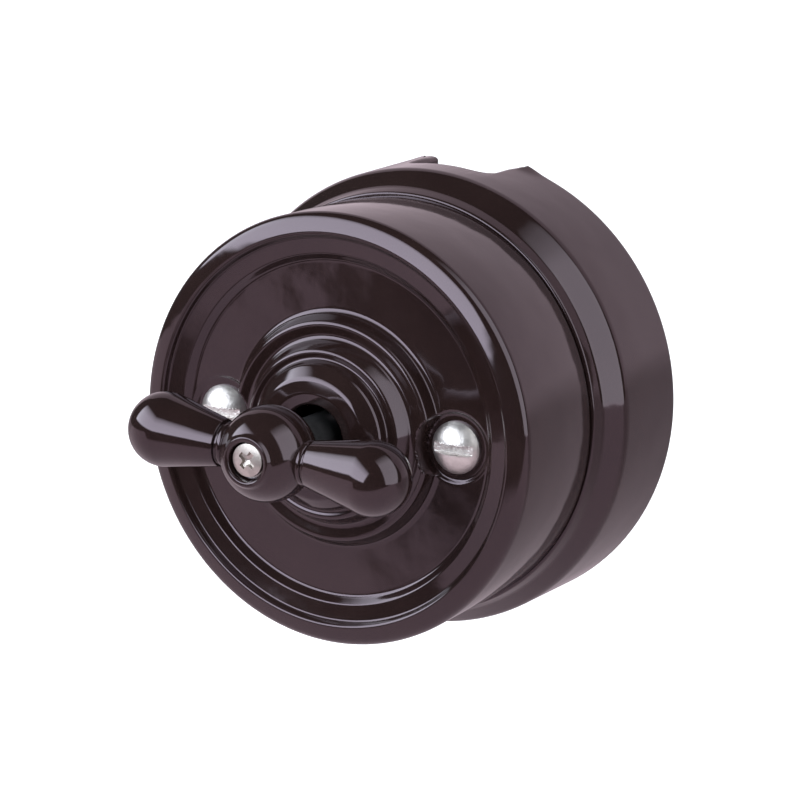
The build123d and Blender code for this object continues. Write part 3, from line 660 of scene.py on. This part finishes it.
def head_outline(radius, edge, crown, spacing):
    """The outline of a screw head over its seat, from its middle to its underside."""
    count = math.ceil(radius / spacing)
    points = [Vector((radius * k / count, 0)) for k in range(count)]
    for p in points:
        p.y = crown_height(p.x, radius, edge, crown)
    foot = rounded([(*points[-1], 0), (radius, edge, HEAD_ROUND), (radius, 0, 0)])
    return points[:-1] + foot


def shank(radius, end):
    """The outline of a plain shank, from the underside of its head to its end."""
    return [
        Vector((radius, 0)), Vector((radius, SHANK_POINT - end)),
        Vector((radius - SHANK_POINT, -end)), Vector((0, -end)),
    ]


def strayed(spot, size, rate):
    """How far a worn surface strays at a spot, in mm."""
    return size * field.noise(spot * rate)


def cover_screw_point(side, seat):
    """How a point of a cover screw's outline is placed, with its slot pressed in."""
    def place(r, rise, angle):
        x, z = r * math.cos(angle), r * math.sin(angle)
        if rise > SLOT_FLOOR:
            spot = Vector((x * side, 0, z))
            edge = SLOT_HALF + (strayed(spot, *SLOT_WAVER) + strayed(spot, *SLOT_NICKS))
            wall = step_between(abs(z), edge - SLOT_SOFT / 2, edge + SLOT_SOFT / 2)
            floor = SLOT_FLOOR + strayed(spot, *SLOT_FLOOR_WAVER)
            away = (abs(z) - SLOT_HALF - BURR_AWAY) / BURR_WIDTH
            burr = math.exp(-away ** 2) * strayed(spot, *BURR)
            rise = floor + (rise + burr - floor) * wall
        return Vector((side * COVER_SCREW_X + x, -seat - rise, z)) * MM
    return place


def make_cover_screws():
    """The two round-headed screws with worn slots."""
    outline = head_outline(HEAD_R, HEAD_EDGE, HEAD_CROWN, HEAD_SPACING) + shank(SHANK_R, SHANK_END)
    for side, name in ((-1, "cover_screw_left"), (1, "cover_screw_right")):
        screw = lathe(name, outline, cover_screw_point(side, RECESS_FLOOR), steps=HEAD_STEPS, closed=False)
        smooth_by_angle(screw, FINE_SHARP)
        finish_piece(screw, "housing", "cover_screws", NICKEL)


KNOB_HEAD_R = 2.55
KNOB_SCREW_RISE = 0.2
KNOB_HEAD_EDGE = 0.95
KNOB_HEAD_CROWN = 0.3
KNOB_HEAD_SPACING = 0.03
KNOB_HEAD_SEAT = KNOB_RECESS_FLOOR + 0.4
KNOB_SHANK_R = 1.2
KNOB_SHANK_END = 8.5
CROSS_TURN = math.radians(57)
CROSS_HALF = 0.4
CROSS_REACH = 1.4
CROSS_CORE_R = 0.75
CROSS_START = KNOB_HEAD_EDGE - 0.1
CROSS_DEPTH = 0.9
CROSS_SLOPE = 0.45
CROSS_SOFT = 0.1


def knob_screw_point(r, rise, angle):
    """A point of the knob screw, with its cross pressed in."""
    if rise > CROSS_START:
        u = abs(r * math.cos(angle - CROSS_TURN))
        v = abs(r * math.sin(angle - CROSS_TURN))
        away = min(max(u - CROSS_REACH, v - CROSS_HALF), max(v - CROSS_REACH, u - CROSS_HALF))
        core = math.hypot(u, v) - CROSS_CORE_R
        press = 1 - step_between(min(away, core), -CROSS_SOFT, CROSS_SOFT / 2)
        rise -= press * CROSS_DEPTH * (1 - CROSS_SLOPE * min(1, r / CROSS_REACH))
    x, z = r * math.cos(angle), r * math.sin(angle)
    return on_knob(x, KNOB_HEAD_SEAT + rise, z + KNOB_SCREW_RISE)


def make_knob_screw():
    """The small screw in the hub's recess."""
    head = head_outline(KNOB_HEAD_R, KNOB_HEAD_EDGE, KNOB_HEAD_CROWN, KNOB_HEAD_SPACING)
    outline = head + shank(KNOB_SHANK_R, KNOB_SHANK_END)
    screw = lathe("knob_screw_fine", outline, knob_screw_point, steps=HEAD_STEPS, closed=False)
    smooth_by_angle(screw, FINE_SHARP)
    finish_piece(screw, "turning", "knob_screw", KNOB_NICKEL)


make_camera()
make_cover()
make_base()
make_knob()
make_cover_screws()
make_knob_screw()

SLOT_MATERIALS = {
    "glaze": GLAZE,
    "nickel": NICKEL,
    "zinc_steel": STEEL,
    "black_plastic": BLACK,
    "ivory_plastic": IVORY,
    "brass": BRASS,
    "silver": SILVER,
}
for part in frame["record"]["subparts"]:
    mesh = nodes[part["node"]].data
    mesh.materials.clear()
    mesh.materials.append(SLOT_MATERIALS[part["material_slot"]])


# Studio

FLOOR_Z = -0.110
BACK_Y = 1.1
SWEEP_WIDTH = 4.0
SWEEP_FRONT = -2.2
SWEEP_TOP = 2.2
SWEEP_CURVE = 0.35
SWEEP_STEPS = 16
FLOOR_COLOUR = (0.80, 0.80, 0.80)
FLOOR_ROUGH = 0.9
FLOOR_SHOWN = 0.6

# The light that shiny things mirror: how bright each part of the sweep is, and where it changes, in metres
MIRRORED_TINT = (1.0, 0.83, 0.92)
FLOOR_NEAR = 1.0
FLOOR_FAR = 0.08
FLOOR_BEHIND = 0.50
FLOOR_SLANT = -0.7
BACKDROP_GLOW = 0.92
BACKDROP_HIGH = 0.72
SLANT_EDGE = (0.065, 0.095)
FAR_EDGE = (-0.28, -0.40)
BEHIND_EDGE = (-0.05, 0.12)
HORIZON_EDGE = (-0.09, 0.10)
HIGH_EDGE = (0.3, 1.0)
WORLD_FILL = 0.05
WORLD_MIRRORED = 0.06

LAMP_DISTANCE = 1.2
LAMP_SIDE_EDGE = 0.08


def sweep_material():
    """A pale sheet that takes shadows, with the studio's uneven light where shiny things mirror it."""
    material, tree, shader = new_material("sweep_white")
    shader.inputs["Base Color"].default_value = (*FLOOR_COLOUR, 1)
    shader.inputs["Roughness"].default_value = FLOOR_ROUGH
    shader.inputs["Specular IOR Level"].default_value = 0.0
    shader.inputs["Emission Color"].default_value = (1, 1, 1, 1)
    path = tree.nodes.new("ShaderNodeLightPath")
    seen = blend(tree, path.outputs["Is Camera Ray"], 0.0, FLOOR_SHOWN)
    tree.links.new(seen, shader.inputs["Emission Strength"])
    place = tree.nodes.new("ShaderNodeTexCoord")
    parts = tree.nodes.new("ShaderNodeSeparateXYZ")
    tree.links.new(place.outputs["Object"], parts.inputs["Vector"])
    slant = tree.nodes.new("ShaderNodeMath")
    slant.operation = "MULTIPLY_ADD"
    slant.inputs[1].default_value = FLOOR_SLANT
    tree.links.new(parts.outputs["Y"], slant.inputs[0])
    tree.links.new(parts.outputs["X"], slant.inputs[2])
    right_of_light = passage(tree, slant.outputs["Value"], *SLANT_EDGE)
    far = passage(tree, parts.outputs["Y"], *FAR_EDGE)
    front = blend(tree, multiplied(tree, right_of_light, far), FLOOR_NEAR, FLOOR_FAR)
    floor = blend(tree, passage(tree, parts.outputs["Y"], *BEHIND_EDGE), front, FLOOR_BEHIND)
    backdrop = blend(tree, passage(tree, parts.outputs["Z"], *HIGH_EDGE), BACKDROP_GLOW, BACKDROP_HIGH)
    glow = blend(tree, passage(tree, parts.outputs["Z"], *HORIZON_EDGE), floor, backdrop)
    mirrored = tree.nodes.new("ShaderNodeEmission")
    mirrored.inputs["Color"].default_value = (*MIRRORED_TINT, 1)
    tree.links.new(glow, mirrored.inputs["Strength"])
    either = tree.nodes.new("ShaderNodeMixShader")
    tree.links.new(path.outputs["Is Glossy Ray"], either.inputs["Fac"])
    tree.links.new(shader.outputs["BSDF"], either.inputs[1])
    tree.links.new(mirrored.outputs["Emission"], either.inputs[2])
    tree.links.new(either.outputs["Shader"], tree.nodes["Material Output"].inputs["Surface"])
    return material


def make_sweep():
    """Floor and backdrop in one curved sheet."""
    curve_y, curve_z = BACK_Y - SWEEP_CURVE, FLOOR_Z + SWEEP_CURVE
    line = [(SWEEP_FRONT, FLOOR_Z), (curve_y, FLOOR_Z)]
    for k in range(1, SWEEP_STEPS + 1):
        a = math.pi / 2 * k / SWEEP_STEPS
        line.append((curve_y + SWEEP_CURVE * math.sin(a), curve_z - SWEEP_CURVE * math.cos(a)))
    line.append((BACK_Y, SWEEP_TOP))
    mesh = bpy.data.meshes.new("sweep")
    points = [(x, y, z) for y, z in line for x in (-SWEEP_WIDTH / 2, SWEEP_WIDTH / 2)]
    faces = [(2 * k, 2 * k + 1, 2 * k + 3, 2 * k + 2) for k in range(len(line) - 1)]
    mesh.from_pydata(points, [], faces)
    for face in mesh.polygons:
        face.use_smooth = True
    sweep = linked_object("sweep", mesh)
    mesh.materials.append(sweep_material())


def make_world():
    """White to the camera, and dim to what it lights and to what mirrors it."""
    world = bpy.data.worlds.new("studio")
    world.use_nodes = True
    tree = world.node_tree
    background = tree.nodes["Background"]
    path = tree.nodes.new("ShaderNodeLightPath")
    mirrored = blend(tree, path.outputs["Is Glossy Ray"], WORLD_FILL, WORLD_MIRRORED)
    strength = blend(tree, path.outputs["Is Camera Ray"], mirrored, 1.0)
    tree.links.new(strength, background.inputs["Strength"])
    background.inputs["Color"].default_value = (1, 1, 1, 1)
    bpy.context.scene.world = world


def softbox(name, azimuth, elevation, roll, width, height, radiance, colour, rising):
    """A rectangular light at angles off the camera's own direction.

    Its sides are soft, and rising gives (height from 0 to 1, brightness) along its height.
    """
    right, up, back = view_axes()
    az, el = math.radians(azimuth), math.radians(elevation)
    level_way = right * math.sin(az) + back * math.cos(az)
    to_light = level_way * math.cos(el) + up * math.sin(el)
    level_side = Vector((0, 0, 1)).cross(to_light).normalized()
    side = Matrix.Rotation(math.radians(roll), 3, to_light) @ level_side
    upward = to_light.cross(side)
    data = bpy.data.lights.new(name, "AREA")
    data.shape = "RECTANGLE"
    data.size = width
    data.size_y = height
    data.energy = radiance * math.pi * width * height
    data.color = colour
    data.use_nodes = True
    tree = data.node_tree
    place = tree.nodes.new("ShaderNodeNewGeometry")
    across = tree.nodes.new("ShaderNodeSeparateXYZ")
    tree.links.new(place.outputs["Parametric"], across.inputs["Vector"])
    spread = tree.nodes.new("ShaderNodeMath")
    spread.operation = "PINGPONG"
    spread.inputs[1].default_value = 0.5
    tree.links.new(across.outputs["X"], spread.inputs[0])
    sides = passage(tree, spread.outputs["Value"], 0.0, LAMP_SIDE_EDGE)
    raised = tree.nodes.new("ShaderNodeVectorMath")
    raised.operation = "DOT_PRODUCT"
    raised.inputs[1].default_value = upward
    tree.links.new(place.outputs["Position"], raised.inputs[0])
    level = tree.nodes.new("ShaderNodeMapRange")
    level.inputs["From Min"].default_value = -height / 2
    level.inputs["From Max"].default_value = height / 2
    tree.links.new(raised.outputs["Value"], level.inputs["Value"])
    shape = ramp(tree, level.outputs["Result"], [(at, (glow, glow, glow)) for at, glow in rising])
    both = multiplied(tree, sides, shape.outputs["Color"])
    tree.links.new(both, tree.nodes["Emission"].inputs["Strength"])
    lamp = linked_object(name, data)
    lamp.matrix_world = facing_matrix(side, upward, to_light, to_light * LAMP_DISTANCE)


make_sweep()
make_world()
softbox(
    "right_box", azimuth=47, elevation=25, roll=0, width=1.1, height=2.1, radiance=3.1,
    colour=(0.94, 0.97, 1.0), rising=((0.0, 0.0), (0.06, 1.0), (0.7, 0.9), (1.0, 0.0)),
)
softbox(
    "left_box", azimuth=-59, elevation=24, roll=-10, width=2.3, height=0.96, radiance=7.4,
    colour=(0.86, 0.92, 1.0), rising=((0.0, 0.0), (0.08, 1.0), (0.6, 0.9), (0.85, 0.5), (1.0, 0.0)),
)

bpy.context.scene.view_settings.view_transform = "Standard"
